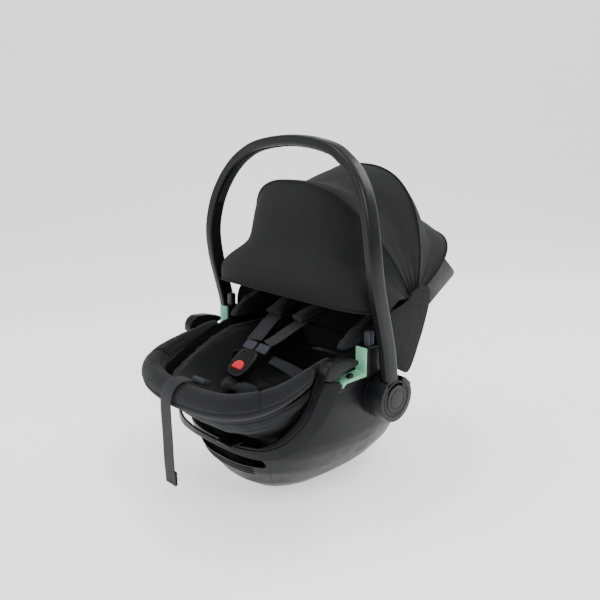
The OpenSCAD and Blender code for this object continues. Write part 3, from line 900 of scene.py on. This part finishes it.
def adjuster():
    """The free adjuster webbing, its folded and stitched end, and the release button."""
    path = curve(vec(ADJUSTER), 12)
    rings = strap_rings(path, ADJUSTER_W, WEB_T, Vector((1, 0, 0)))
    strap = loft("adjuster_webbing", rings, WEBBING, "carrier", sharp=60)
    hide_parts("adjuster_strap")
    tail = [path[-1] + Vector((0, 2.3, z)) for z in (0.6, 6, 12, 18, 24)]
    rings = strap_rings(curve(tail, 4), ADJUSTER_W, WEB_T, Vector((1, 0, 0)))
    fold = loft("adjuster_fold", rings, WEBBING, "carrier", sharp=60)
    rows = [stitches("adjuster_fold_thread_%d" % k,
                     [Vector((x, path[-1].y - 1.3, path[-1].z + z)) for x in range(-11, 13, 2)],
                     "carrier", pitch=3.4, long=2.4)
            for k, z in enumerate((5, 19))]
    softened("adjuster_button", SLATE, "harness_release", 2.5, 4)


BUCKLE_AT, BUCKLE_TILT, BUCKLE_HALF = (0, -140, 232), 38, (25, 28)
D_RADIUS, D_FLAT = 12.2, -5.0


def d_outline(grow):
    """Half-round button outline: round towards the tongues, flat towards the child."""
    r = D_RADIUS + grow
    flat = D_FLAT - grow
    start = math.asin(flat / r)
    return [(r * math.cos(a), r * math.sin(a)) for a in
            (start + (math.pi - 2 * start) * k / 40 for k in range(41))]


def prism(name, outline, low, high, tilt, dome=0.0):
    """Upright prism in the buckle's own frame, crowned by dome towards its middle."""
    rings = []
    for grow, z in ((0.9, low), (1.0, low + 1.2), (1.0, high - 3), (0.975, high - 1.2), (0.92, high - 0.3),
                    (0.82, high), (0.5, high + dome * 0.7), (0.03, high + dome)):
        rings.append([tilt @ Vector((x * grow, y * grow, z)) for x, y in outline])
    faces = ring_faces(len(outline), len(rings))
    return finish_mesh(name, [p for ring in rings for p in ring], faces, BLACK, None)


def buckle():
    """Housing with a D-shaped well, the red button in it, the tongues, and ribs beside them."""
    tilt = Matrix.Translation(BUCKLE_AT) @ Matrix.Rotation(math.radians(BUCKLE_TILT), 4, "X")
    centre = tilt @ Matrix.Translation((0, -10, 0))
    half_w, half_l = BUCKLE_HALF
    plan = []
    for a in round_turn(72):
        x, y = half_w * spow(math.cos(a), 0.62), half_l * spow(math.sin(a), 0.7)
        plan.append((x * (1.0 - 0.10 * (1 - y / half_l) / 2), y))
    body = prism("buckle_body_moulded", plan, -8, 7, tilt, 1.0)
    cutter = prism("cutter", d_outline(0.7), -0.6, 14, centre)
    carved(body, [cutter])
    dress(body, BLACK, "carrier", 32)
    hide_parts("buckle_body")
    button = prism("buckle_button_moulded", d_outline(0.0), 3.2, 9.4, centre, 1.2)
    dress(button, RED, "buckle_release", 32)
    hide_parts("buckle_button")
    softened("buckle_tongues", SLATE, "carrier", 2.2, 4)
    for k, y in enumerate((12, 16, 20)):
        rib = [tilt @ Vector((x, y, 7.6)) for x in range(-15, 16, 2)]
        tube("buckle_rib_%d" % k, rib, 0.5, DULL, "carrier")


# ---------- canopy ----------

CLOTH_T = 3.0
# arches: angle about the pivot, radius, half width, squareness
VISOR = (171.5, 167, 183, 8)
BAND = (160, 178, 187, 6)
SADDLE = (141, 180, 174, 3.2)
TWO = (121.4, 248, 169, 2.4)
TWO_REAR = (120.6, 248, 169, 2.4)
DIP = (103, 212, 167, 2.4)
THREE = (78.4, 236, 166, 2.4)
THREE_REAR = (77.6, 236, 166, 2.4)
DIP_REAR = (52, 192, 154, 2.6)
LAST = (30, 212, 152, 3.2)
ARCH_START, ARCH_STEPS = 5.0, 90


def arch_point(v, k, off):
    """The point at share k of an arch, moved in by off; the ends stop short of the pivots."""
    a = math.radians(ARCH_START + (180 - 2 * ARCH_START) * k)
    x = (v[2] - off) * spow(math.cos(a), 2 / v[3])
    r = (v[1] - off) * math.sin(a) ** (2 / v[3])
    return Vector((x, PIVOT_Y + r * math.cos(math.radians(v[0])),
                   PIVOT_Z + r * math.sin(math.radians(v[0]))))


def panel_grid(arches, across, steps, wrinkle, seed):
    """Rows from one arch to the next, with loose swells and pull folds near the pivots."""
    stations = curve(vec(arches), steps)
    grid = []
    for i, v in enumerate(stations):
        t = i / (len(stations) - 1)
        row = []
        for k in range(across + 1):
            s = k / across
            loose = math.sin(math.pi * t) ** 0.7
            swell = noise.noise(Vector((s * 7, t * 3, seed))) + 0.5 * noise.noise(
                Vector((s * 16, t * 5, seed + 4)))
            pull = math.sin(t * 26 + seed) * math.exp(-(((abs(s - 0.5) - 0.47) / 0.06) ** 2)) * 0.8
            row.append(arch_point(v, s, 0.6 - wrinkle * loose * swell - pull * loose))
        grid.append(row)
    return grid


def canopy_panel(name, node, arches, seed, bodies, wrinkle=1.6):
    """One sheet of the canopy; returns its surface."""
    across = 96
    grid = panel_grid(arches, across, 14, wrinkle, seed)
    rows = across + 1
    panel = finish_mesh(name, [p for r in grid for p in r], grid_faces(len(grid), rows, False),
                        CANOPY, None)
    bm = bmesh.new()
    bm.from_mesh(panel.data)
    middle = Vector((0, PIVOT_Y, PIVOT_Z)) * MM
    outward = sum((f.normal.dot(f.calc_center_median() - middle) for f in bm.faces), 0.0)
    if outward < 0:
        bmesh.ops.reverse_faces(bm, faces=bm.faces)
    area = sum(f.calc_area() for f in bm.faces)
    bm.to_mesh(panel.data)
    bm.free()
    thickened(panel, CLOTH_T, -1.0)
    dress(panel, CANOPY, bodies[0] if len(bodies) == 1 else None, 60)
    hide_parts(node)
    tree = surface_of(panel)
    if len(bodies) == 2:
        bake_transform(panel)
    return tree


def arch_line(v, out):
    """Points along an arch, moved out from it."""
    return [arch_point(v, k / ARCH_STEPS, -out) for k in range(ARCH_STEPS + 1)]


def canopy():
    """Three cloth panels, piping over the bows, and stitches on both sides of it."""
    front = canopy_panel("canopy_front_cloth", "canopy_front", (VISOR, BAND, SADDLE, TWO), 1.3,
                         ("hood_mid", "hood_front"))
    mid = canopy_panel("canopy_mid_cloth", "canopy_mid", (TWO_REAR, DIP, THREE), 5.1,
                       ("carrier", "hood_mid"), 2.2)
    rear = canopy_panel("canopy_rear_cloth", "canopy_rear", (THREE_REAR, DIP_REAR, LAST), 8.4,
                        ("carrier",), 2.2)
    for name, v, body in (("canopy_piping_mid", TWO, "hood_mid"), ("canopy_piping_rear", THREE, "carrier"),
                          ("canopy_piping_visor", VISOR, "hood_front"),
                          ("canopy_piping_end", LAST, "carrier")):
        tube(name, arch_line(v, 0.4), 1.7, PIPING, body)
    rows = ((-3.6, TWO, front, "hood_mid", "a"), (3.6, TWO_REAR, mid, "hood_mid", "b"),
            (-3.6, THREE, mid, "carrier", "c"), (3.6, THREE_REAR, rear, "carrier", "d"),
            (4.0, VISOR, front, "hood_front", "e"), (2.0, BAND, front, "hood_front", "f"))
    for shift, v, tree, body, word in rows:
        beside = (v[0] - math.degrees(shift / v[1]), v[1], v[2], v[3])
        line = laid_on(tree, arch_line(beside, 1.0)[3:-3], 0.1, 2.0)
        stitches("canopy_thread_" + word, line, body, pitch=4.6, long=3.1)


SIDE_OUTLINE = ((-7, 246), (-6, 292), (4, 314), (22, 326), (62, 337), (76, 350), (100, 356), (122, 350),
                (124, 330), (116, 300), (98, 256), (74, 214), (50, 220), (24, 238))
SIDE_CENTRE, SIDE_X = (62, 290), 178.6


def side_covers():
    """Cloth ears over the pivots: a smooth outline, bulging a little over the pin."""
    edge = curve(vec([(0, y, z) for y, z in SIDE_OUTLINE] + [(0, *SIDE_OUTLINE[0])]), 8)[:-1]
    centre = Vector((0, *SIDE_CENTRE))
    for side, word in SIDES:
        rings = []
        for t in (1.0, 0.985, 0.94, 0.8, 0.6, 0.4, 0.2, 0.02):
            rise = 1.9 * (1 - t ** 3)
            ring = []
            for p in edge:
                q = centre.lerp(p, t)
                fold = 0.25 * noise.noise(Vector((q.y * 0.04, q.z * 0.04, side)))
                ring.append(Vector((side * (SIDE_X + rise + fold), q.y, q.z)))
            rings.append(ring)
        faces = ring_faces(len(edge), len(rings), False)
        cover = finish_mesh("side_cover_" + word, [p for ring in rings for p in ring], faces, CANOPY,
                            None)
        thickened(cover, 1.6, 0.0)
        dress(cover, CANOPY, "carrier", 50)
        if word == "left":
            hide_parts("side_covers")
        line = laid_on(surface_of(cover), rings[2] + [rings[2][0]], 0.1, 2.0)
        stitches("side_cover_thread_" + word, line, "carrier", pitch=4.6, long=3.1)


# ---------- small parts kept from the CAD ----------


SMALL_PARTS = (("guide_clips", DULL, "carrier", "black_plastic", 1.2),
               ("shell_trim", BLACK, "carrier", "black_plastic", 1.1),
               ("backrest_shell", DULL, "backrest", "black_plastic", 2.5),
               ("side_plates", DULL, "carrier", "black_plastic", 1.2),
               ("bucket_stand", DULL, "carrier", "black_plastic", 2.0),
               ("recline_lever", BLACK, "seat_lever", "black_plastic", 1.8),
               ("rest_pads", RUBBER, "carrier", "grip_rubber", 0.8),
               ("base_bars", STEEL, "carrier", "steel", 0.8),
               ("pivot_bolts", STEEL, "carrier", "steel", 0.8),
               ("hinge_pins", STEEL, "carrier", "steel", 0.8))


def carried_over():
    """CAD nodes that need only rounded corners and a material."""
    for _, word in SIDES:
        softened("belt_guide_" + word, MINT, "carrier", 1.4)
        softened("release_tab_" + word, SLATE, word + "_tab", 2.5, 4)
    for node, mat, body, slot, width in SMALL_PARTS:
        softened(node, mat, body, width)
    for node, body in (("bow_front", "hood_front"), ("bow_mid", "hood_mid"), ("bow_rear", "carrier")):
        softened(node, DULL, body, 0.4, 2)


# ---------- studio ----------


# metres: half width and flat length of the floor, and the radius of its rise
FLOOR_HALF, FLOOR_BACK, FLOOR_END, FLOOR_RISE = 6.0, -3.0, 2.0, 3.0
AIM = (0, -0.03, 0.28)
# name, place, disk size, power in watts
LAMPS = (("key", (1.5, -0.7, 2.0), 1.2, 34), ("fill", (-0.9, -2.0, 1.1), 1.6, 16),
         ("rim", (0.4, 1.9, 1.9), 1.2, 24), ("top", (-0.4, -0.3, 2.5), 1.5, 20))
WORLD_STRENGTH, FLOOR_GLOW = 0.5, 0.9


def studio_floor():
    """A pale sheet, flat under the part and curving up behind it as the camera sees it."""
    rows = [(FLOOR_BACK + 0.25 * i, 0.0) for i in range(21)]
    rows += [(FLOOR_END + FLOOR_RISE * math.sin(a), FLOOR_RISE - FLOOR_RISE * math.cos(a))
             for a in (math.radians(4 * k) for k in range(1, 23))]
    turn = Matrix.Rotation(math.radians(CAMERA_AZIMUTH), 4, "Z")
    verts = [turn @ Vector((x, y, z)) for y, z in rows for x in (-FLOOR_HALF, FLOOR_HALF)]
    me = bpy.data.meshes.new("studio_floor")
    me.from_pydata(verts, [], [(2 * i, 2 * i + 1, 2 * i + 3, 2 * i + 2) for i in range(len(rows) - 1)])
    floor = bpy.data.objects.new("studio_floor", me)
    bpy.context.collection.objects.link(floor)
    s = Shader("studio_paper", 0.9)
    s.bsdf.inputs["Emission Color"].default_value = (1, 1, 1, 1)
    s.bsdf.inputs["Emission Strength"].default_value = FLOOR_GLOW
    s.colour((0.93, 0.93, 0.93), (0.96, 0.96, 0.96), s.noise(2, 3))
    me.materials.append(s.mat)
    me.polygons.foreach_set("use_smooth", [True] * len(me.polygons))


def studio_light():
    """An even white surround and four soft disks aimed at the part."""
    world = bpy.data.worlds.new("studio_world")
    world.use_nodes = True
    world.node_tree.nodes["Background"].inputs["Color"].default_value = (1, 1, 1, 1)
    world.node_tree.nodes["Background"].inputs["Strength"].default_value = WORLD_STRENGTH
    bpy.context.scene.world = world
    for name, at, width, power in LAMPS:
        data = bpy.data.lights.new(name, "AREA")
        data.shape, data.size, data.energy = "DISK", width, power
        lamp = bpy.data.objects.new(name, data)
        lamp.location = at
        lamp.rotation_euler = (Vector(at) - Vector(AIM)).to_track_quat("Z", "Y").to_euler()
        bpy.context.collection.objects.link(lamp)


adjuster()
lower_shell()
shell_details()
handle()
hubs()
seat_bucket()
rim_cushion()
valance()
seat_cushions()
newborn_insert()
shoulder_pads()
harness()
buckle()
canopy()
side_covers()
carried_over()
studio_floor()
studio_light()
